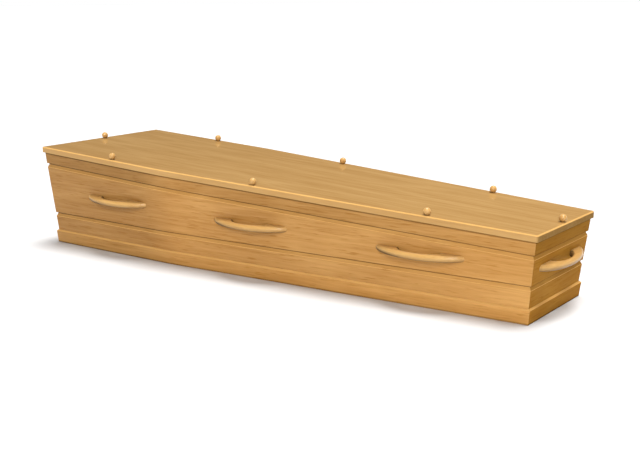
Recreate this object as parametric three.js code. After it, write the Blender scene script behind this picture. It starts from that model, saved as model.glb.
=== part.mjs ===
// Wooden coffin: a six-sided box of grooved boards that lean outwards, with a plinth round its foot,
// a loose flat lid that slopes down to the foot end, eight bow handles and eight ball knobs.
// Millimetres, +Z up, +X from the head end to the foot end, -Y the right side.
// The origin is on the floor, in the middle of the overall length and width.

import * as THREE from 'three';

// Plan of the box at the floor, over the outer faces of its boards
const floorLength = 2000;
const headWidth = 550;
const shoulderWidth = 550;
const footWidth = 370;
const shoulderFromHead = 610;

// Lean of the walls, in millimetres outwards for each millimetre of height
const sideLean = 0.09;
const headLean = 0.065;
const footLean = 0.11;

// Height of the rim above the floor, straight over the floor line of each end
const headHeight = 365;
const footHeight = 264;

// Boards
const wallThickness = 18;
const bottomThickness = 18;
const lidThickness = 22;
const lidOverhang = 8;
const lidBevel = 3;
const lidCornerRadius = 6;

// Routed grooves round the four walls: the upper one follows the rim, the lower one the floor
const upperGrooveBelowRim = 43.5;
const lowerGrooveAboveFloor = 122.5;
const grooveHeight = 15;
const grooveDepth = 6;
const grooveBackHeight = 4;

// Plinth strips
const plinthThickness = 7;
const plinthHeight = 51.5;
const plinthBevel = 5.5;

// Bow handles
const handleLength = 310;
const handleReach = 48;
const handleHeight = 22;
const handleRounding = 8;
const greatestRoundingPart = 0.4;
const fingerLength = 140;
const fingerDepth = 26;
const bowSetback = 24;
const handleAboveBoardMiddle = 5.5;
const firstHandleFromHead = 360;
const lastHandleFromFoot = 355;
const middleHandleTowardsHead = 10;

// Ball knobs
const knobDiameter = 25;
const knobFootDiameter = 10;
const firstKnobFromHead = 350;
const lastKnobFromFoot = 330;

// Gap between pieces that touch
const fitGap = 0.3;

// Smoothness of round stretches, in steps
const bowSteps = 14;
const fingerSteps = 10;
const handleEdgeSteps = 3;
const knobTurnSteps = 16;
const knobArcSteps = 8;
const cornerSteps = 3;

const floorHalf = floorLength / 2;
const shoulderX = shoulderFromHead - floorHalf;

// Levels: planes of height + slope * x
const rimSlope = (footHeight - headHeight) / floorLength;
const rimMiddle = (footHeight + headHeight) / 2;

function aboveFloor(height) {
  return { height, slope: 0 };
}

function belowRim(drop) {
  return { height: rimMiddle - drop, slope: rimSlope };
}

function heightAt(level, x) {
  return level.height + level.slope * x;
}

// Walls by the corner they start from, counter-clockwise from above: the right side's head part
// and foot part, the foot end, the left side's foot part and head part, the head end
const floorCorners = [
  new THREE.Vector2(-floorHalf, -headWidth / 2),
  new THREE.Vector2(shoulderX, -shoulderWidth / 2),
  new THREE.Vector2(floorHalf, -footWidth / 2),
  new THREE.Vector2(floorHalf, footWidth / 2),
  new THREE.Vector2(shoulderX, shoulderWidth / 2),
  new THREE.Vector2(-floorHalf, headWidth / 2),
];
const leans = [sideLean, sideLean, footLean, sideLean, sideLean, headLean];
const walls = floorCorners.map((start, index) => {
  const end = floorCorners[(index + 1) % floorCorners.length];
  const along = end.clone().sub(start).normalize();
  const outward = new THREE.Vector2(along.y, -along.x);
  return { along, outward, distance: outward.dot(start), lean: leans[index] };
});
const [rightHeadWall, rightFootWall, footWall, leftFootWall, leftHeadWall, headWall] = walls;

// Where two neighbouring walls, both set in by inset, meet at a level
function cornerPoint(corner, level, inset) {
  const pair = [walls[(corner + walls.length - 1) % walls.length], walls[corner]];
  const [first, second] = pair.map((wall) => ({
    x: wall.outward.x - wall.lean * level.slope,
    y: wall.outward.y,
    value: wall.distance + wall.lean * level.height - inset,
  }));
  const determinant = first.x * second.y - second.x * first.y;
  const x = (first.value * second.y - second.value * first.y) / determinant;
  const y = (first.x * second.value - second.x * first.value) / determinant;
  return new THREE.Vector3(x, y, heightAt(level, x));
}

// A point of a side wall at a given x
function sidePoint(wall, level, inset, x) {
  const z = heightAt(level, x);
  const y = (wall.distance + wall.lean * z - inset - wall.outward.x * x) / wall.outward.y;
  return new THREE.Vector3(x, y, z);
}

// The point of an end wall on the centre line
function endPoint(wall, level, inset) {
  const x = (wall.distance + wall.lean * level.height - inset) / (wall.outward.x - wall.lean * level.slope);
  return new THREE.Vector3(x, 0, heightAt(level, x));
}

// Closed solid over a row of rings with equal counts, each ring counter-clockwise
// seen against the direction of the row; flat caps close its two ends
function loft(rings, capOutline) {
  const count = rings[0].length;
  const positions = rings.flat().flatMap((point) => [point.x, point.y, point.z]);
  const indices = [];
  for (let ring = 0; ring + 1 < rings.length; ring += 1) {
    for (let i = 0; i < count; i += 1) {
      const near = ring * count + i;
      const nearNext = ring * count + ((i + 1) % count);
      indices.push(near, nearNext, near + count);
      indices.push(nearNext, nearNext + count, near + count);
    }
  }
  const lastRing = (rings.length - 1) * count;
  for (const [a, b, c] of THREE.ShapeUtils.triangulateShape(capOutline, [])) {
    indices.push(c, b, a);
    indices.push(lastRing + a, lastRing + b, lastRing + c);
  }
  const geometry = new THREE.BufferGeometry();
  geometry.setAttribute('position', new THREE.Float32BufferAttribute(positions, 3));
  geometry.setIndex(indices);
  const flat = geometry.toNonIndexed();
  flat.computeVertexNormals();
  return flat;
}

// Board or strip with one section along its run, mitred at its two end corners.
// The section lists its points as { level, inset }, up the inner face and down the outer one.
function mitredRun(section, corners) {
  const last = corners.length - 1;
  const stations = corners.map((corner, index) => {
    const { along } = walls[corners[Math.min(index, last - 1)]];
    const shift = new THREE.Vector3(along.x, along.y, 0);
    if (index === 0) {
      shift.multiplyScalar(fitGap / 2);
    } else if (index === last) {
      shift.multiplyScalar(-fitGap / 2);
    } else {
      shift.multiplyScalar(0);
    }
    return section.map(({ level, inset }) => cornerPoint(corner, level, inset).add(shift));
  });
  const capOutline = section.map(({ inset }, index) => new THREE.Vector2(inset, stations[0][index].z));
  return loft(stations, capOutline);
}

// Flat board between rings that lie one above the other
function stackedBoard(rings) {
  return loft(rings, rings[0].map((point) => new THREE.Vector2(point.x, point.y)));
}

const upperGrooveLip = belowRim(upperGrooveBelowRim + grooveHeight);
const lowerGrooveTop = aboveFloor(lowerGrooveAboveFloor);

// Groove under a square edge at top: straight in, a short flat back, then a slope out to its lip
function groove(top, back, lip) {
  return [
    { level: top, inset: 0 },
    { level: top, inset: grooveDepth },
    { level: back, inset: grooveDepth },
    { level: lip, inset: 0 },
  ];
}

const wallSection = [
  { level: aboveFloor(0), inset: wallThickness },
  { level: belowRim(0), inset: wallThickness },
  { level: belowRim(0), inset: 0 },
  ...groove(
    belowRim(upperGrooveBelowRim),
    belowRim(upperGrooveBelowRim + grooveBackHeight),
    upperGrooveLip,
  ),
  ...groove(
    lowerGrooveTop,
    aboveFloor(lowerGrooveAboveFloor - grooveBackHeight),
    aboveFloor(lowerGrooveAboveFloor - grooveHeight),
  ),
  { level: aboveFloor(0), inset: 0 },
];

const plinthSection = [
  { level: aboveFloor(0), inset: -fitGap },
  { level: aboveFloor(plinthHeight), inset: -fitGap },
  { level: aboveFloor(plinthHeight), inset: plinthBevel - plinthThickness },
  { level: aboveFloor(plinthHeight - plinthBevel), inset: -plinthThickness },
  { level: aboveFloor(0), inset: -plinthThickness },
];

const rightRun = [0, 1, 2];
const footRun = [2, 3];
const leftRun = [3, 4, 5];
const headRun = [5, 0];

function bottomGeometry() {
  const levels = [aboveFloor(0), aboveFloor(bottomThickness)];
  const inset = wallThickness + fitGap;
  const rings = levels.map((level) => floorCorners.map((_, corner) => cornerPoint(corner, level, inset)));
  return stackedBoard(rings);
}

// The lid's outline: the rim's outline moved out by overhang, its four square corners rounded
function lidRing(level, overhang, radius) {
  const rim = floorCorners.map((_, corner) => cornerPoint(corner, belowRim(0), 0));
  const edges = rim.map((start, index) => {
    const end = rim[(index + 1) % rim.length];
    const along = new THREE.Vector2(end.x - start.x, end.y - start.y).normalize();
    const outward = new THREE.Vector2(along.y, -along.x);
    return { along, outward, distance: outward.x * start.x + outward.y * start.y + overhang };
  });
  return edges.flatMap((edge, index) => {
    const before = edges[(index + edges.length - 1) % edges.length];
    const turn = before.along.cross(edge.along);
    const corner = new THREE.Vector2(
      (before.distance * edge.outward.y - edge.distance * before.outward.y) / turn,
      (before.outward.x * edge.distance - edge.outward.x * before.distance) / turn,
    );
    const isShoulder = index === 1 || index === 4;
    const steps = isShoulder ? 0 : cornerSteps;
    const angle = before.along.angleTo(edge.along);
    const centre = corner
      .clone()
      .addScaledVector(before.outward.clone().add(edge.outward), -radius / (1 + Math.cos(angle)));
    return Array.from({ length: steps + 1 }, (_, step) => {
      const point = isShoulder
        ? corner
        : before.outward
            .clone()
            .rotateAround(new THREE.Vector2(), (angle * step) / steps)
            .multiplyScalar(radius)
            .add(centre);
      return new THREE.Vector3(point.x, point.y, heightAt(level, point.x));
    });
  });
}

function lidGeometry() {
  return stackedBoard([
    lidRing(belowRim(-fitGap), lidOverhang, lidCornerRadius),
    lidRing(belowRim(-fitGap - lidThickness + lidBevel), lidOverhang, lidCornerRadius),
    lidRing(belowRim(-fitGap - lidThickness), lidOverhang - lidBevel, lidCornerRadius - lidBevel),
  ]);
}

// Bow handle in its own place: X along the wall, Y out of it, Z up, its feet flat on Y = 0.
// Seen from above, its outer edge is an ellipse cut off by the wall and the finger gap is half an ellipse.
function handleRing(shrink, z) {
  const half = handleLength / 2;
  const depth = handleReach + bowSetback;
  const fullHalf = half / Math.sqrt(1 - (bowSetback / depth) ** 2);
  const startAngle = Math.asin(bowSetback / (depth - shrink));
  const outer = Array.from({ length: bowSteps + 1 }, (_, step) => {
    const angle = startAngle + ((Math.PI - 2 * startAngle) * step) / bowSteps;
    const y = (depth - shrink) * Math.sin(angle) - bowSetback;
    return new THREE.Vector3((fullHalf - shrink) * Math.cos(angle), Math.max(y, 0), z);
  });
  const inner = Array.from({ length: fingerSteps + 1 }, (_, step) => {
    const angle = Math.PI - (Math.PI * step) / fingerSteps;
    const y = (fingerDepth + shrink) * Math.sin(angle);
    return new THREE.Vector3((fingerLength / 2 + shrink) * Math.cos(angle), Math.max(y, 0), z);
  });
  return [...outer, ...inner];
}

// The rounding of a handle's edges leaves a straight stretch between them, so the bar limits it
function handleGeometry() {
  const thinnest = Math.min(handleReach - fingerDepth, handleHeight);
  const rounding = Math.min(handleRounding, greatestRoundingPart * thinnest);
  const straight = handleHeight / 2 - rounding;
  const lower = Array.from({ length: handleEdgeSteps + 1 }, (_, step) => {
    const angle = (Math.PI / 2) * (1 - step / handleEdgeSteps);
    return [rounding * (1 - Math.cos(angle)), -straight - rounding * Math.sin(angle)];
  });
  const upper = lower.map(([shrink, z]) => [shrink, -z]).reverse();
  return stackedBoard([...lower, ...upper].map(([shrink, z]) => handleRing(shrink, z)));
}

// Ball with a small flat foot on Z = 0
function knobGeometry() {
  const radius = knobDiameter / 2;
  const footRadius = knobFootDiameter / 2;
  const centreHeight = Math.sqrt(radius ** 2 - footRadius ** 2);
  const footAngle = -Math.acos(footRadius / radius);
  const arc = Array.from({ length: knobArcSteps }, (_, step) => {
    const angle = footAngle + ((Math.PI / 2 - footAngle) * step) / knobArcSteps;
    return new THREE.Vector2(radius * Math.cos(angle), centreHeight + radius * Math.sin(angle));
  });
  const profile = [new THREE.Vector2(0, 0), ...arc, new THREE.Vector2(0, centreHeight + radius)];
  return new THREE.LatheGeometry(profile, knobTurnSteps).rotateX(Math.PI / 2);
}

const oak = new THREE.MeshStandardMaterial({ color: 0xc6955a, roughness: 0.42, metalness: 0 });
const lidOak = new THREE.MeshStandardMaterial({ color: 0xc79d61, roughness: 0.36, metalness: 0 });
const paleWood = new THREE.MeshStandardMaterial({ color: 0xdcab6e, roughness: 0.35, metalness: 0 });

const coffin = new THREE.Group();

function addPiece(name, geometry, material) {
  const mesh = new THREE.Mesh(geometry, material);
  mesh.name = name;
  coffin.add(mesh);
  return mesh;
}

addPiece('bottom_board', bottomGeometry(), oak);
addPiece('side_board_right', mitredRun(wallSection, rightRun), oak);
addPiece('side_board_left', mitredRun(wallSection, leftRun), oak);
addPiece('head_board', mitredRun(wallSection, headRun), oak);
addPiece('foot_board', mitredRun(wallSection, footRun), oak);
addPiece('plinth_right', mitredRun(plinthSection, rightRun), oak);
addPiece('plinth_left', mitredRun(plinthSection, leftRun), oak);
addPiece('plinth_head', mitredRun(plinthSection, headRun), oak);
addPiece('plinth_foot', mitredRun(plinthSection, footRun), oak);
addPiece('lid', lidGeometry(), lidOak);

// Handles stand square to their wall, a little above the middle of the board between the grooves
const handleLevel = {
  height: (lowerGrooveTop.height + upperGrooveLip.height) / 2 + handleAboveBoardMiddle,
  slope: (lowerGrooveTop.slope + upperGrooveLip.slope) / 2,
};
const firstHandleX = firstHandleFromHead - floorHalf;
const lastHandleX = floorHalf - lastHandleFromFoot;
const middleHandleX = (firstHandleX + lastHandleX) / 2 - middleHandleTowardsHead;

function addHandle(name, wall, place) {
  const handle = addPiece(name, handleGeometry(), paleWood);
  const sideways = new THREE.Vector3(-wall.along.x, -wall.along.y, 0);
  const outward = new THREE.Vector3(wall.outward.x, wall.outward.y, -wall.lean).normalize();
  const upward = sideways.clone().cross(outward);
  handle.quaternion.setFromRotationMatrix(new THREE.Matrix4().makeBasis(sideways, outward, upward));
  handle.position.copy(place);
}

// Knobs stand square on the lid, over the middle of the wall's thickness
const lidTop = belowRim(-lidThickness - 2 * fitGap);
const firstKnobX = firstKnobFromHead - floorHalf;
const lastKnobX = floorHalf - lastKnobFromFoot;

function addKnob(name, rimPlace) {
  const knob = addPiece(name, knobGeometry(), paleWood);
  knob.position.set(rimPlace.x, rimPlace.y, heightAt(lidTop, rimPlace.x));
  knob.rotation.y = -Math.atan(rimSlope);
}

const sides = [
  { name: 'right', headPart: rightHeadWall, footPart: rightFootWall },
  { name: 'left', headPart: leftHeadWall, footPart: leftFootWall },
];
for (const { name, headPart, footPart } of sides) {
  [firstHandleX, middleHandleX, lastHandleX].forEach((x, index) => {
    const wall = x < shoulderX ? headPart : footPart;
    addHandle(`handle_${name}_${index + 1}`, wall, sidePoint(wall, handleLevel, -fitGap, x));
  });
  [firstKnobX, (firstKnobX + lastKnobX) / 2, lastKnobX].forEach((x, index) => {
    const wall = x < shoulderX ? headPart : footPart;
    addKnob(`knob_${name}_${index + 1}`, sidePoint(wall, belowRim(0), wallThickness / 2, x));
  });
}
for (const [name, wall] of [['head', headWall], ['foot', footWall]]) {
  addHandle(`handle_${name}`, wall, endPoint(wall, handleLevel, -fitGap));
  addKnob(`knob_${name}`, endPoint(wall, belowRim(0), wallThickness / 2));
}

// The origin goes to the middle of the overall length
const overall = new THREE.Box3().setFromObject(coffin, true);
coffin.position.x = -(overall.min.x + overall.max.x) / 2;

export default coffin;
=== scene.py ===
# The looks of a six-sided oak coffin: lacquered boards with routed grooves, a plinth, a loose lid,
# eight bow handles and eight ball knobs, on a white floor in soft studio light.
# Metres, +X from the head end to the foot end, -Y the right side, +Z up.

import math

import bmesh
import bpy
from mathutils import Euler, Matrix, Vector


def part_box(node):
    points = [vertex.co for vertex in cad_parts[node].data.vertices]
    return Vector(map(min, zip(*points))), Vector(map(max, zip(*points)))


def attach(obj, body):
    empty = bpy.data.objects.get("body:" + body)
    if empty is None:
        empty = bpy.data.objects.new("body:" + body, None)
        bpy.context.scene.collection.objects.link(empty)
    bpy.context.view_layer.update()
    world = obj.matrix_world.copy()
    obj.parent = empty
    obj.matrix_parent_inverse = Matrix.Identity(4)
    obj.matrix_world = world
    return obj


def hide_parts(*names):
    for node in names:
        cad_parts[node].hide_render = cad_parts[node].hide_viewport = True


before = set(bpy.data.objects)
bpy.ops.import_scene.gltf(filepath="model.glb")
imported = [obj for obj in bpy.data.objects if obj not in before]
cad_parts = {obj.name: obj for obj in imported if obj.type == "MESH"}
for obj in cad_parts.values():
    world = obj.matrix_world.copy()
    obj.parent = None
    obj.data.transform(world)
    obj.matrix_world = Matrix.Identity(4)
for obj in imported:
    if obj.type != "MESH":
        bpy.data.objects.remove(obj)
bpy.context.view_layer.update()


# The bottom is one flat oak board, let in between the four walls and flush with their lower edge.
# It is planed and lacquered like the walls. Its edges are only eased with sandpaper.

FLOOR_LENGTH = 2.0
SAME_POINT = 0.000001
FLAT_WITHIN = math.radians(0.5)
SHARP_FROM = math.radians(20)
CREASED_FROM = math.radians(35)
EASED_EDGE = 0.0012
EASED_STEPS = 3
ROUND_PROFILE = 0.5
MITRED_NODES = ("side_board", "head_board", "foot_board", "plinth")
MITRE_SLANT = 0.2
PLAIN_CORNERS = 4

# Two marks on the faces tell the lacquer where to paint a highlight, on edges and slopes that look up, and
# where to paint shade, on faces that look down and in other shaded places.
HIGHLIGHT_MARK = "painted highlight"
SHADE_MARK = "painted shade"
NARROW = 0.015
CHAMFER_RISE = 0.6
SLOPE_RISE = 0.3
EDGE_RISE = 0.1
SLOPE_HIGHLIGHT = 0.2
# Narrow faces that look down, such as the undercut of a groove, get painted shade.
OVERHANG = -0.05
DOWNWARD_SHADE = 0.85

# Waves per metre along the grain, across it and through the board.
LEAF_WAVES = (0.9, 1.0, 5.0)
STREAK_WAVES = (5.0, 12.0, 120.0)
THREAD_WAVES = (16.0, 60.0, 700.0)
FLECK_WAVES = (14.0, 24.0, 190.0)
CLOUD_WAVES = (1.6, 3.0, 4.0)
RINGS_IN_LEAF = 9.0
ARCH_CURVE = ((0.0, 0.0), (0.55, 0.35), (1.0, 1.0))
STREAK_CURVE = ((0.28, 0.0), (0.72, 1.0))
PORE_CURVE = ((0.30, 1.0), (0.42, 0.0))
ARCH_SHARE = 0.30
STREAK_SHARE = 0.62
THREAD_SHARE = 0.16
CLOUD_SHARE = 0.55
PORE_SHARE = 0.34
MIDDLE = 0.5

ALONG_X = (0.0, 0.0, 0.0)
ALONG_Y = (0.0, 0.0, math.radians(-90))
WIDE_BOARD_ACROSS = (6.0, 1.0)
OAK_LIGHT = (0.55, 0.295, 0.090, 1.0)
OAK_DARK = (0.365, 0.165, 0.034, 1.0)
HIGHLIGHT_OAK = (0.78, 0.44, 0.14, 1.0)
HIGHLIGHT_SHARE = 0.68
OAK_SHADE_STRENGTH = 0.6
EVEN_TONE = ((0.0, 1.0), (1.0, 1.0))
BRIGHTEST = 1.5
OAK_FLECK = 1.4
OAK_COAT = 0.18
OAK_COAT_ROUGHNESS = 0.22
OAK_GLOSS = 0.1
OAK_ROUGHNESS = 0.46
STREAK_SMOOTHNESS = 0.10
PORE_ROUGHNESS = 0.12
THREAD_HEIGHT = 0.6
STREAK_HEIGHT = 0.4
PORE_DEPTH = 0.7
GRAIN_DEPTH = 0.00025
DULL_WHERE_SHADED = 2
MIX_SHARE, MIX_FIRST, MIX_SECOND, MIX_RESULT = 0, 6, 7, 2


class Wire:
    """An output of a node, on which Python's operators add Math nodes."""

    def __init__(self, socket):
        self.socket = socket

    def math(self, operation, *values):
        node = self.socket.id_data.nodes.new("ShaderNodeMath")
        node.operation = operation
        for socket, value in zip(node.inputs, values):
            join(socket, value)
        return Wire(node.outputs["Value"])

    def __add__(self, other):
        return self.math("ADD", self, other)

    def __radd__(self, other):
        return self.math("ADD", other, self)

    def __sub__(self, other):
        return self.math("SUBTRACT", self, other)

    def __rsub__(self, other):
        return self.math("SUBTRACT", other, self)

    def __mul__(self, other):
        return self.math("MULTIPLY", self, other)

    def __rmul__(self, other):
        return self.math("MULTIPLY", other, self)


def join(socket, value):
    """Links a wire to a socket, or sets a plain value on it."""
    if isinstance(value, Wire):
        socket.id_data.links.new(value.socket, socket)
    else:
        socket.default_value = value


class Finish:
    """A material whose nodes are added one call at a time."""

    def __init__(self, name):
        self.material = bpy.data.materials.new(name)
        self.material.use_nodes = True
        self.tree = self.material.node_tree
        self.tree.nodes.clear()

    def node(self, kind, inputs, output=0, stops=(), **settings):
        """Adds a node: its settings first, then its sockets, by name or number."""
        node = self.tree.nodes.new(kind)
        for name, value in settings.items():
            setattr(node, name, value)
        for number, (position, level) in enumerate(stops):
            made = node.color_ramp.elements
            stop = made[number] if number < len(made) else made.new(position)
            stop.position = position
            stop.color = (level, level, level, 1.0)
        for name, value in inputs.items():
            join(node.inputs[name], value)
        return Wire(node.outputs[output])

    def placed(self, turn, shift):
        """Object coordinates, turned and shifted so that the grain runs along their X."""
        place = self.node("ShaderNodeTexCoord", {}, output="Object")
        return self.node("ShaderNodeMapping", {"Vector": place, "Rotation": turn, "Location": shift})

    def noise(self, place, waves, detail=2.0, roughness=0.5, distortion=0.0):
        """Noise with its own number of waves per metre along each axis."""
        stretched = self.node("ShaderNodeMapping", {"Vector": place, "Scale": waves})
        shape = {
            "Vector": stretched,
            "Scale": 1.0,
            "Detail": detail,
            "Roughness": roughness,
            "Distortion": distortion,
        }
        return self.node("ShaderNodeTexNoise", shape)

    def ramp(self, value, stops):
        """A curve through (value, result) stops."""
        return self.node("ShaderNodeValToRGB", {"Fac": value}, stops=stops)

    def mix(self, share, first, second):
        """A colour between two colours."""
        inputs = {MIX_SHARE: share, MIX_FIRST: first, MIX_SECOND: second}
        return self.node("ShaderNodeMix", inputs, output=MIX_RESULT, data_type="RGBA")

    def shade(self, colour, level):
        """A colour made lighter or darker by a level around 1."""
        return self.node("ShaderNodeVectorMath", {0: colour, "Scale": level}, operation="SCALE")

    def marked(self, mark):
        """How far a mark on the faces, such as a painted highlight, holds at a place."""
        return self.node("ShaderNodeAttribute", {}, output="Fac", attribute_name=mark)

    def wood(self, colour, roughness, bump_height, bump_depth, coat, coat_roughness, gloss):
        """Lacquered wood: a bumpy wooden surface under a smooth clear coat."""
        bump = self.node("ShaderNodeBump", {"Height": bump_height, "Distance": bump_depth})
        surface = {
            "Base Color": colour,
            "Roughness": roughness,
            "Normal": bump,
            "Coat Weight": coat,
            "Coat Roughness": coat_roughness,
            "Specular IOR Level": gloss,
        }
        shader = self.node("ShaderNodeBsdfPrincipled", surface)
        self.surface(shader)
        return self.material

    def surface(self, shader):
        """Ends the material with a shader as its surface."""
        output = self.tree.nodes.new("ShaderNodeOutputMaterial")
        join(output.inputs["Surface"], shader)


def lacquered_oak(
    name,
    light,
    dark,
    turn,
    shift,
    across,
    painted_light=EVEN_TONE,
    fleck=OAK_FLECK,
    coat=OAK_COAT,
    coat_roughness=OAK_COAT_ROUGHNESS,
    gloss=OAK_GLOSS,
):
    """Oak under satin lacquer, with a painted highlight and painted shade where its faces are marked. across
    says how fast the grain changes along Y and Z, and the brightness stops after it paint light and shade
    along the coffin, from the head end, at 0, to the foot end, at 1."""

    def waves(base):
        return (base[0], base[1] * across[0], base[2] * across[1])

    finish = Finish(name)
    place = finish.placed(turn, shift)
    leaf = finish.noise(place, waves(LEAF_WAVES), detail=1.0, distortion=0.4)
    arches = finish.ramp(leaf.math("PINGPONG", leaf * RINGS_IN_LEAF, 1.0), ARCH_CURVE)
    streaks = finish.noise(place, waves(STREAK_WAVES), detail=4.0, roughness=0.62)
    threads = finish.noise(place, waves(THREAD_WAVES), detail=2.0)
    flecks = finish.noise(place, waves(FLECK_WAVES), detail=2.0, roughness=0.55)
    pores = fleck * finish.ramp(flecks, PORE_CURVE)
    cloud = finish.noise(place, waves(CLOUD_WAVES), detail=1.0)
    figure = ARCH_SHARE * arches + STREAK_SHARE * finish.ramp(streaks, STREAK_CURVE) + THREAD_SHARE * threads
    tone = figure + CLOUD_SHARE * (cloud - MIDDLE) - PORE_SHARE * pores
    # Painted light and shade along the coffin, from the brightness stops.
    object_place = finish.node("ShaderNodeTexCoord", {}, output="Object")
    from_middle = finish.node("ShaderNodeSeparateXYZ", {"Vector": object_place}, output="X")
    scaled_painted_light = [(share, brightness / BRIGHTEST) for share, brightness in painted_light]
    along = BRIGHTEST * finish.ramp((1 / FLOOR_LENGTH) * from_middle + MIDDLE, scaled_painted_light)
    # Painted shade where the faces are marked as shaded, which also thins the coat there.
    shade = finish.marked(SHADE_MARK)
    level = along - OAK_SHADE_STRENGTH * shade
    planed = finish.shade(finish.mix(tone, dark, light), level)
    # Painted highlight: faces marked as looking up are mixed towards a paler colour.
    colour = finish.mix(HIGHLIGHT_SHARE * finish.marked(HIGHLIGHT_MARK), planed, HIGHLIGHT_OAK)
    roughness = OAK_ROUGHNESS - STREAK_SMOOTHNESS * streaks + PORE_ROUGHNESS * pores
    height = THREAD_HEIGHT * threads + STREAK_HEIGHT * streaks - PORE_DEPTH * pores
    coat_weight = coat - DULL_WHERE_SHADED * coat * shade
    return finish.wood(colour, roughness, height, GRAIN_DEPTH, coat_weight, coat_roughness, gloss)


def dressed_board(node, name, slot, material, eased=EASED_EDGE, own_marks=None):
    """A board in its CAD node's place, with its square edges eased and its faces marked for a painted
    highlight and painted shade.
    """
    board = bmesh.new()
    board.from_mesh(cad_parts[node].data)
    bmesh.ops.remove_doubles(board, verts=board.verts, dist=SAME_POINT)
    bmesh.ops.dissolve_limit(board, angle_limit=FLAT_WITHIN, verts=board.verts, edges=board.edges)
    highlight = board.faces.layers.float.new(HIGHLIGHT_MARK)
    shade_mark = board.faces.layers.float.new(SHADE_MARK)
    if own_marks:
        own_marks(board)
    for face in board.faces:
        width = face.calc_area() / max(edge.calc_length() for edge in face.edges)
        if width < NARROW:
            mark_by_slope(face, highlight, shade_mark)
    edges = [
        edge
        for edge in board.edges
        if edge.calc_face_angle_signed(0.0) > SHARP_FROM and not at_mitre(node, edge)
    ]
    for face in round_edges(board, edges, eased, EASED_STEPS):
        mark_by_slope(face, highlight, shade_mark)
        # Rounded edges that look up get a full painted highlight.
        if face.normal.z > EDGE_RISE:
            face[highlight] = 1.0
    return finished_piece(board, name, slot, material, node)


def mark_by_slope(face, highlight, shade_mark):
    """Marks a narrow face with a painted highlight where it looks up, and with painted shade where it looks
    down.
    """
    rise = face.normal.z
    if rise > CHAMFER_RISE:
        face[highlight] = 1.0
    elif rise > SLOPE_RISE:
        face[highlight] = SLOPE_HIGHLIGHT
    elif rise < OVERHANG:
        face[shade_mark] = DOWNWARD_SHADE


def at_mitre(node, edge):
    """Whether an edge bounds a slanting end of a wall or plinth strip, which stays crisp."""
    if not node.startswith(MITRED_NODES):
        return False
    return any(
        abs(face.normal.x * face.normal.y) > MITRE_SLANT and len(face.verts) > PLAIN_CORNERS
        for face in edge.link_faces
    )


def round_edges(solid, edges, size, steps):
    """Rounds edges and gives back the new faces."""
    made = bmesh.ops.bevel(
        solid,
        geom=edges,
        offset=size,
        affect="EDGES",
        segments=steps,
        profile=ROUND_PROFILE,
        material=-1,
        clamp_overlap=True,
    )
    return made["faces"]


def finished_piece(solid, name, slot, material, *nodes):
    """Turns a bmesh into a piece that stands for its CAD nodes."""
    for edge in solid.edges:
        edge.smooth = edge.calc_face_angle(0.0) < CREASED_FROM
    mesh = bpy.data.meshes.new(name)
    solid.to_mesh(mesh)
    solid.free()
    mesh.polygons.foreach_set("use_smooth", [True] * len(mesh.polygons))
    mesh.materials.append(material)
    piece = in_scene(name, mesh)
    shading = piece.modifiers.new("flat faces stay flat", "WEIGHTED_NORMAL")
    shading.keep_sharp = True
    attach(piece, "root")
    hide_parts(*nodes)
    return piece


def in_scene(name, data):
    """A new object in the scene, at the origin."""
    made = bpy.data.objects.new(name, data)
    bpy.context.scene.collection.objects.link(made)
    return made


bottom_oak = lacquered_oak(
    "oak bottom board", OAK_LIGHT, OAK_DARK, ALONG_X, (0.3, 0.7, 0.1), WIDE_BOARD_ACROSS
)
dressed_board("bottom_board", "oak_bottom", "oak", bottom_oak)


# Each side is one tall oak board, bent a little at the shoulder and leaning outwards.
# Two grooves are routed into it and it is mitred to the end boards at both ends.

RIM_AT_HEAD = 0.365
RIM_AT_FOOT = 0.264
RIM_HEIGHT = (RIM_AT_HEAD + RIM_AT_FOOT) / 2
RIM_SLOPE = math.atan((RIM_AT_HEAD - RIM_AT_FOOT) / FLOOR_LENGTH)
# Painted shade under the lid: a dark line where the lid's shadow falls, and a lighter band below it.
LID_SHADOW = 0.006
LID_SHADOW_DEPTH = 0.8
UPPER_BAND = 0.04
UPPER_BAND_SHADE = 0.24
BOARD_ACROSS = (0.4, 1.0)
# Painted light and shade along the sides: darker at the head end and up to the shoulder, lighter towards the
# foot end.
PAINTED_LIGHT_ON_SIDES = ((0.0, 0.82), (0.25, 0.84), (0.33, 1.08), (0.5, 1.0), (0.7, 1.03), (0.95, 1.20))


def whole(solid):
    """All of a bmesh's elements."""
    return list(solid.verts) + list(solid.edges) + list(solid.faces)


def darken_under_lid(board):
    """Marks painted shade on the band of a wall from the lid down to its upper channel, and darker painted
    shade on the line under the lid.
    """
    shade_mark = board.faces.layers.float[SHADE_MARK]
    upward = Vector((math.sin(RIM_SLOPE), 0.0, math.cos(RIM_SLOPE)))
    line = Vector((0.0, 0.0, RIM_HEIGHT - LID_SHADOW))
    bmesh.ops.bisect_plane(board, geom=whole(board), plane_co=line, plane_no=upward)
    for face in board.faces:
        below_rim = (Vector((0.0, 0.0, RIM_HEIGHT)) - face.calc_center_median()).dot(upward)
        if below_rim < LID_SHADOW:
            face[shade_mark] = LID_SHADOW_DEPTH
        elif below_rim < UPPER_BAND:
            face[shade_mark] = UPPER_BAND_SHADE


side_oak = lacquered_oak(
    "oak sides", OAK_LIGHT, OAK_DARK, ALONG_X, (0.0, 0.0, 0.0), BOARD_ACROSS, PAINTED_LIGHT_ON_SIDES
)
for side in ("right", "left"):
    dressed_board(f"side_board_{side}", f"oak_side_{side}", "oak", side_oak, own_marks=darken_under_lid)


# The head and foot boards close the ends. They are of the same oak with the grain across the
# coffin, carry the same two grooves, and are mitred and glued to the sides.

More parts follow.
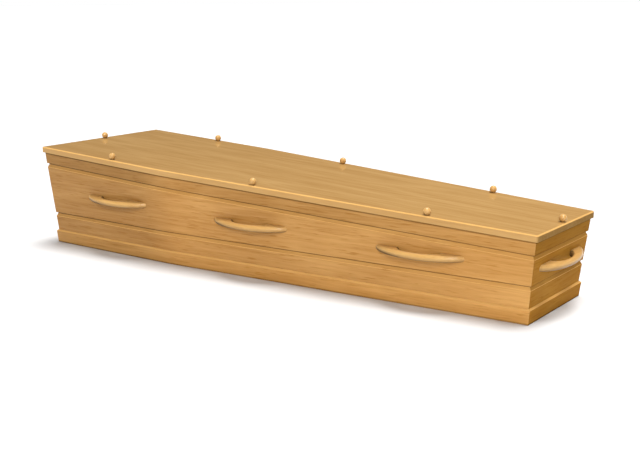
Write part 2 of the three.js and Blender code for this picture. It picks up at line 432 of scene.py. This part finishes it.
# The ends are painted darker than the sides as shade, and their painted light is brighter at the head end
# than at the foot end.
SHADED_END_LIGHT = (0.45, 0.22, 0.036, 1.0)
SHADED_END_DARK = (0.34, 0.14, 0.016, 1.0)
PAINTED_LIGHT_ON_ENDS = ((0.0, 1.25), (1.0, 0.93))
END_COAT = 0.05
END_GLOSS = 0.0


def end_grained_oak(name, shift):
    """The oak of the ends, with the grain across the coffin, painted darker than the sides as shade."""
    return lacquered_oak(
        name, SHADED_END_LIGHT, SHADED_END_DARK, ALONG_Y, shift, BOARD_ACROSS, PAINTED_LIGHT_ON_ENDS, coat=END_COAT, gloss=END_GLOSS
    )


end_oak = end_grained_oak("oak ends", (0.0, 0.0, 2.3))
for end in ("head", "foot"):
    dressed_board(f"{end}_board", f"oak_end_{end}", "oak", end_oak, own_marks=darken_under_lid)


# Four thin plinth strips go round the foot of the walls. They are solid oak with a bevelled
# top edge, mitred at the corners and glued on.

FLOOR_SHADOW = 0.005
# Painted light and shade along the plinth: darker at the head end, lighter towards the foot end.
PAINTED_LIGHT_ON_PLINTH = ((0.0, 0.90), (0.25, 0.92), (0.34, 1.14), (0.55, 1.18), (0.95, 1.30))


def darken_at_floor(strip):
    """Marks the low line of a plinth strip that stays in shade just above the floor."""
    shade_mark = strip.faces.layers.float[SHADE_MARK]
    line = (0.0, 0.0, FLOOR_SHADOW)
    bmesh.ops.bisect_plane(strip, geom=whole(strip), plane_co=line, plane_no=(0.0, 0.0, 1.0))
    for face in strip.faces:
        if face.calc_center_median().z < FLOOR_SHADOW:
            face[shade_mark] = 1.0


strip_oak = lacquered_oak(
    "oak plinth sides", OAK_LIGHT, OAK_DARK, ALONG_X, (0.4, 0.0, 1.1), BOARD_ACROSS, PAINTED_LIGHT_ON_PLINTH
)
end_strip_oak = end_grained_oak("oak plinth ends", (0.9, 0.0, 3.7))
for run in ("right", "left"):
    dressed_board(f"plinth_{run}", f"oak_plinth_{run}", "oak", strip_oak, own_marks=darken_at_floor)
for run in ("head", "foot"):
    dressed_board(f"plinth_{run}", f"oak_plinth_{run}", "oak", end_strip_oak, own_marks=darken_at_floor)


# The lid is one flat oak board that lies loose on the rim and slopes down to the foot end.
# Its upper edge is chamfered and its corners are rounded before it is lacquered.

LID_LIGHT = (0.60, 0.36, 0.13, 1.0)
LID_DARK = (0.45, 0.24, 0.07, 1.0)
# Painted light along the lid: darker at the head end, lighter towards the foot end.
PAINTED_LIGHT_ON_LID = ((0.0, 0.73), (0.5, 0.82), (1.0, 0.89))
LID_FLECK = 0.5
LID_COAT = 0.6
LID_COAT_ROUGHNESS = 0.1
LID_GLOSS = 0.0
LID_EASED = 0.0011
ALONG_LID = (0.0, -RIM_SLOPE, 0.0)
UPRIGHT_WITHIN = 0.05
# A painted highlight on the lid's long sides and painted shade on its ends.
LID_SIDE_HIGHLIGHT = 0.35
LID_END_SHADE = 0.6


def mark_lid_edges(lid):
    """Marks the lid's upright faces: a painted highlight along the sides and painted shade across the ends.
    """
    highlight = lid.faces.layers.float[HIGHLIGHT_MARK]
    shade_mark = lid.faces.layers.float[SHADE_MARK]
    for face in lid.faces:
        if abs(face.normal.z) < UPRIGHT_WITHIN:
            face[highlight] = LID_SIDE_HIGHLIGHT * abs(face.normal.y)
            face[shade_mark] = LID_END_SHADE * abs(face.normal.x)


lid_oak = lacquered_oak(
    "oak lid",
    LID_LIGHT,
    LID_DARK,
    ALONG_LID,
    (0.2, 0.4, 0.0),
    WIDE_BOARD_ACROSS,
    PAINTED_LIGHT_ON_LID,
    LID_FLECK,
    LID_COAT,
    LID_COAT_ROUGHNESS,
    LID_GLOSS,
)
dressed_board("lid", "oak_lid", "lid_oak", lid_oak, LID_EASED, mark_lid_edges)


# Eight bow handles are shaped from pale solid wood and polished. Each is an oval hoop cut off
# flat by the wall, with rounded edges and a finger gap, and is screwed on from inside the box.

HANDLE_LENGTH = 0.310
HANDLE_REACH = 0.0479
HANDLE_HEIGHT = 0.022
HANDLE_ROUNDING = 0.0105
HANDLE_ROUND_STEPS = 6
HANDLE_SHARP_FROM = math.radians(60)
BOW_SETBACK = 0.024
FINGER_LENGTH = 0.140
FINGER_DEPTH = 0.026
HOOP_STEPS = 96
# Painted shade in the finger gap, darkest at the wall.
GAP_WALL = 1.12
GAP_FADE = 0.6
# Painted shade on the handles' undersides, more on faces turned to the head end.
SHADED_BELOW = 0.3
UNDERSIDE_SHADE = 0.7
LEE_SHADE = 3.2

SHOULDER_HALF_WIDTH = 0.275
FOOT_HALF_WIDTH = 0.185
SHOULDER_FROM_HEAD = 0.61
SHOULDER_TURN = math.atan((SHOULDER_HALF_WIDTH - FOOT_HALF_WIDTH) / (FLOOR_LENGTH - SHOULDER_FROM_HEAD))
SIDE_LEAN = 0.09
HEAD_LEAN = 0.065
FOOT_LEAN = 0.11
RIGHT, LEFT, TO_HEAD, TO_FOOT = -90.0, 90.0, 180.0, 0.0
HANDLE_WALLS = {
    "handle_right_1": (RIGHT, 0.0, SIDE_LEAN),
    "handle_right_2": (RIGHT, SHOULDER_TURN, SIDE_LEAN),
    "handle_right_3": (RIGHT, SHOULDER_TURN, SIDE_LEAN),
    "handle_left_1": (LEFT, 0.0, SIDE_LEAN),
    "handle_left_2": (LEFT, -SHOULDER_TURN, SIDE_LEAN),
    "handle_left_3": (LEFT, -SHOULDER_TURN, SIDE_LEAN),
    "handle_head": (TO_HEAD, 0.0, HEAD_LEAN),
    "handle_foot": (TO_FOOT, 0.0, FOOT_LEAN),
}

PALE_LIGHT = (0.69, 0.41, 0.142, 1.0)
PALE_DARK = (0.49, 0.25, 0.068, 1.0)
PALE_STREAK_WAVES = (7.0, 110.0, 110.0)
PALE_THREAD_WAVES = (40.0, 900.0, 900.0)
PALE_CLOUD_WAVES = (5.0, 14.0, 14.0)
PALE_STREAK_CURVE = ((0.3, 0.0), (0.7, 1.0))
PALE_BASE = 0.25
PALE_STREAK_SHARE = 0.55
PALE_THREAD_SHARE = 0.2
PALE_CLOUD_SHARE = 0.4
PALE_SHADE_STRENGTH = 0.75
PALE_ROUGHNESS = 0.40
PALE_STREAK_SMOOTHNESS = 0.08
PALE_GRAIN_DEPTH = 0.0001
PALE_COAT = 0.5
PALE_COAT_ROUGHNESS = 0.15
PALE_GLOSS = 0.15
# The end handles' wood is painted darker all over as shade.
END_HANDLE_SHADE = 0.89


def polished_pale_wood(name, turn, shift, brightness=1.0):
    """Pale close-grained wood with a soft polish, with painted shade and a duller polish where its faces are
    marked, and darker all over by brightness below 1, as painted shade.
    """
    finish = Finish(name)
    place = finish.placed(turn, shift)
    streaks = finish.noise(place, PALE_STREAK_WAVES, detail=3.0, roughness=0.6)
    threads = finish.noise(place, PALE_THREAD_WAVES, detail=1.0)
    cloud = finish.noise(place, PALE_CLOUD_WAVES, detail=1.0)
    figure = PALE_BASE + PALE_STREAK_SHARE * finish.ramp(streaks, PALE_STREAK_CURVE)
    tone = figure + PALE_THREAD_SHARE * threads + PALE_CLOUD_SHARE * (cloud - MIDDLE)
    shade = finish.marked(SHADE_MARK)
    level = brightness - PALE_SHADE_STRENGTH * shade
    colour = finish.shade(finish.mix(tone, PALE_DARK, PALE_LIGHT), level)
    roughness = PALE_ROUGHNESS - PALE_STREAK_SMOOTHNESS * streaks
    height = threads + streaks
    coat = PALE_COAT - PALE_COAT * shade
    return finish.wood(colour, roughness, height, PALE_GRAIN_DEPTH, coat, PALE_COAT_ROUGHNESS, PALE_GLOSS)


def bow_handle():
    """A handle with X along the wall, Y out of it and its feet flat on Y = 0."""
    depth = HANDLE_REACH + BOW_SETBACK
    half_length = HANDLE_LENGTH / 2 / math.sqrt(1 - (BOW_SETBACK / depth) ** 2)
    hoop = bmesh.new()
    rims = oval(hoop, half_length, depth, BOW_SETBACK, -HANDLE_HEIGHT / 2)
    rims += oval(hoop, FINGER_LENGTH / 2, FINGER_DEPTH, 0.0, -HANDLE_HEIGHT / 2)
    flat = bmesh.ops.bridge_loops(hoop, edges=rims)["faces"]
    raised = bmesh.ops.extrude_face_region(hoop, geom=flat)["geom"]
    moved = [part for part in raised if isinstance(part, bmesh.types.BMVert)]
    bmesh.ops.translate(hoop, vec=(0.0, 0.0, HANDLE_HEIGHT), verts=moved)
    bmesh.ops.recalc_face_normals(hoop, faces=hoop.faces)
    edges = [edge for edge in hoop.edges if edge.calc_face_angle(0.0) > HANDLE_SHARP_FROM]
    round_edges(hoop, edges, HANDLE_ROUNDING, HANDLE_ROUND_STEPS)
    cut_flat(hoop, (0.0, 0.0, 0.0), (0.0, 1.0, 0.0))
    # Painted shade in the finger gap, darkest at the wall and fading outwards.
    shade_mark = hoop.faces.layers.float.new(SHADE_MARK)
    for face in hoop.faces:
        place = face.calc_center_median()
        within = math.hypot(place.x / (FINGER_LENGTH / 2), place.y / FINGER_DEPTH)
        if within < GAP_WALL:
            face[shade_mark] = 1.0 - min(place.y / FINGER_DEPTH, 1.0) * GAP_FADE
    return hoop


def oval(solid, half_length, half_depth, setback, height):
    """A level oval whose middle lies behind the wall's face by setback."""
    made = bmesh.ops.create_circle(solid, cap_ends=False, radius=1.0, segments=HOOP_STEPS)
    bmesh.ops.scale(solid, vec=(half_length, half_depth, 1.0), verts=made["verts"])
    bmesh.ops.translate(solid, vec=(0.0, -setback, height), verts=made["verts"])
    return list({edge for vert in made["verts"] for edge in vert.link_edges})


def cut_flat(solid, place, keeps):
    """Cuts a solid off at a plane, keeps the side that keeps points to, and closes the cut."""
    bmesh.ops.bisect_plane(solid, geom=whole(solid), plane_co=place, plane_no=keeps, clear_inner=True)
    bmesh.ops.holes_fill(solid, edges=[edge for edge in solid.edges if edge.is_boundary], sides=0)
    bmesh.ops.recalc_face_normals(solid, faces=solid.faces)


def wall_axes(facing, turn, lean):
    """A wall's own axes as a turn: X along it, Y straight out of it, Z up it."""
    angle = math.radians(facing) + turn
    outward = Vector((math.cos(angle), math.sin(angle), -lean)).normalized()
    sideways = Vector((math.sin(angle), -math.cos(angle), 0.0))
    upward = sideways.cross(outward)
    return Matrix((sideways, outward, upward)).transposed()


def place_like_node(solid, turn, node):
    """Turns a solid and moves it so that it fills the same space as its CAD node."""
    bmesh.ops.rotate(solid, cent=(0.0, 0.0, 0.0), matrix=turn, verts=solid.verts)
    cad = [turn.inverted() @ vert.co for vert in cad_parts[node].data.vertices]
    own = [turn.inverted() @ vert.co for vert in solid.verts]
    wall = min(point.y for point in cad) - min(point.y for point in own)
    along = middle(point.x for point in cad) - middle(point.x for point in own)
    up = middle(point.z for point in cad) - middle(point.z for point in own)
    bmesh.ops.translate(solid, vec=turn @ Vector((along, wall, up)), verts=solid.verts)


def middle(values):
    """Halfway between the least and the greatest value."""
    values = list(values)
    return (min(values) + max(values)) / 2


def shade_underside(solid, underside_shade, lee_shade):
    """Marks painted shade, with a duller polish, on what looks down, and more so on what also looks to the
    head end.
    """
    solid.normal_update()
    marks = solid.faces.layers.float
    shade_mark = marks.get(SHADE_MARK) or marks.new(SHADE_MARK)
    for face in solid.faces:
        down = max(SHADED_BELOW - face.normal.z, 0.0)
        lee = max(-face.normal.x, 0.0)
        shade = down * (underside_shade + lee_shade * lee)
        face[shade_mark] = min(max(face[shade_mark], shade), 1.0)


handle_wood = polished_pale_wood("pale wood side handles", ALONG_X, (0.1, 0.0, 0.3))
end_handle_wood = polished_pale_wood("pale wood end handles", ALONG_Y, (0.5, 0.0, 0.3), END_HANDLE_SHADE)
for node, wall in HANDLE_WALLS.items():
    handle = bow_handle()
    place_like_node(handle, wall_axes(*wall), node)
    shade_underside(handle, UNDERSIDE_SHADE, LEE_SHADE)
    wood = end_handle_wood if node in ("handle_head", "handle_foot") else handle_wood
    finished_piece(handle, node.replace("handle", "bow"), "pale_wood", wood, node)


# Eight ball knobs are turned from the same pale wood and polished. Each is screwed through the
# lid into the rim of the box, and lifts off with the lid.

KNOB_RADIUS = 0.01245
KNOB_FOOT_RADIUS = 0.005
KNOB_STEPS_ROUND = 40
KNOB_STEPS_UP = 24
# Painted shade on the knobs' undersides.
KNOB_SHADE = 0.35
ALONG_Z = (0.0, math.radians(90), 0.0)


def ball_knob():
    """A ball with a small flat foot, centred on the origin."""
    ball = bmesh.new()
    bmesh.ops.create_uvsphere(
        ball, u_segments=KNOB_STEPS_ROUND, v_segments=KNOB_STEPS_UP, radius=KNOB_RADIUS
    )
    foot = -math.sqrt(KNOB_RADIUS**2 - KNOB_FOOT_RADIUS**2)
    cut_flat(ball, (0.0, 0.0, foot), (0.0, 0.0, 1.0))
    return ball


knob_wood = polished_pale_wood("pale wood knobs", ALONG_Z, (0.0, 0.2, 0.6))
lid_square = Euler((0.0, RIM_SLOPE, 0.0)).to_matrix()
for node in [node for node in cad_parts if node.startswith("knob_")]:
    ball = ball_knob()
    bmesh.ops.rotate(ball, cent=(0.0, 0.0, 0.0), matrix=lid_square, verts=ball.verts)
    low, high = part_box(node)
    centre = Vector(((low.x + high.x) / 2, (low.y + high.y) / 2, high.z - KNOB_RADIUS))
    bmesh.ops.translate(ball, vec=centre, verts=ball.verts)
    shade_underside(ball, KNOB_SHADE, 0.0)
    finished_piece(ball, node.replace("knob", "ball"), "pale_wood", knob_wood, node)


# The studio: a wide white floor and a far white backdrop that glows evenly, under a faint sky.
# One wide light comes from above and two from the front, all even over the whole floor.

WHITE = (1.0, 1.0, 1.0, 1.0)
PAPER = (0.72, 0.72, 0.72, 1.0)
FLOOR_HALF = 400.0
BACKDROP_RADIUS = 80.0
BACKDROP_HEIGHT = 16.0
BACKDROP_SIDES = 64
BACKDROP_STRENGTH = 1.0
SKY_STRENGTH = 0.08
LIGHTS = {
    "light from above": ((0.07, 0.15, 0.99), 4.05, 28),
    "light from the front": ((0.45, -0.75, 0.48), 1.36, 22),
    "low light from the front": ((0.42, -0.88, 0.22), 1.0, 50),
}


def studio_sheet(name, solid, material):
    """A sheet of the studio, made from a bmesh."""
    data = bpy.data.meshes.new(name)
    solid.to_mesh(data)
    solid.free()
    data.materials.append(material)
    return in_scene(name, data)


def wide_light(name, comes_from, strength, spread):
    """Even light over the whole floor, as from a far and wide softbox."""
    data = bpy.data.lights.new(name, "SUN")
    data.energy = strength
    data.angle = math.radians(spread)
    in_scene(name, data).rotation_euler = Vector(comes_from).to_track_quat("Z", "Y").to_euler()


floor_mesh = bmesh.new()
bmesh.ops.create_grid(floor_mesh, x_segments=1, y_segments=1, size=FLOOR_HALF)
paper = Finish("white paper")
paper.surface(paper.node("ShaderNodeBsdfDiffuse", {"Color": PAPER}))
floor = studio_sheet("studio floor", floor_mesh, paper.material)

backdrop_mesh = bmesh.new()
bmesh.ops.create_cone(
    backdrop_mesh,
    segments=BACKDROP_SIDES,
    radius1=BACKDROP_RADIUS,
    radius2=BACKDROP_RADIUS,
    depth=BACKDROP_HEIGHT,
)
glow = Finish("lit white backdrop")
glow.surface(glow.node("ShaderNodeEmission", {"Color": WHITE, "Strength": BACKDROP_STRENGTH}))
backdrop = studio_sheet("studio backdrop", backdrop_mesh, glow.material)
backdrop.visible_shadow = False

sky = bpy.data.worlds.new("studio sky")
sky.use_nodes = True
sky.node_tree.nodes["Background"].inputs["Color"].default_value = WHITE
sky.node_tree.nodes["Background"].inputs["Strength"].default_value = SKY_STRENGTH
bpy.context.scene.world = sky

for name, (comes_from, strength, spread) in LIGHTS.items():
    wide_light(name, comes_from, strength, spread)


# The camera stands at the foot end's right, at chest height, and looks slightly down.

IMAGE_WIDTH = 640
SENSOR = 36.0
FOCAL_PIXELS = 1034.10
AZIMUTH = math.radians(36.2921)
ELEVATION = math.radians(12.8752)
ROLL = math.radians(-0.3821)
CAMERA_PLACE = Vector((2.24994, -2.93501, 0.97639))

back = Vector((
    math.sin(AZIMUTH) * math.cos(ELEVATION),
    -math.cos(AZIMUTH) * math.cos(ELEVATION),
    math.sin(ELEVATION),
))
right = Vector((math.cos(AZIMUTH), math.sin(AZIMUTH), 0.0))
up = back.cross(right)
rolled_right = right * math.cos(ROLL) + up * math.sin(ROLL)
rolled_up = up * math.cos(ROLL) - right * math.sin(ROLL)
camera_data = bpy.data.cameras.new("camera")
camera_data.sensor_width = SENSOR
camera_data.lens = FOCAL_PIXELS * SENSOR / IMAGE_WIDTH
camera_data.clip_end = 2 * FLOOR_HALF
camera = in_scene("camera", camera_data)
camera.matrix_world = Matrix((rolled_right, rolled_up, back)).transposed().to_4x4()
camera.location = CAMERA_PLACE
bpy.context.scene.camera = camera
bpy.context.scene.view_settings.view_transform = "Standard"
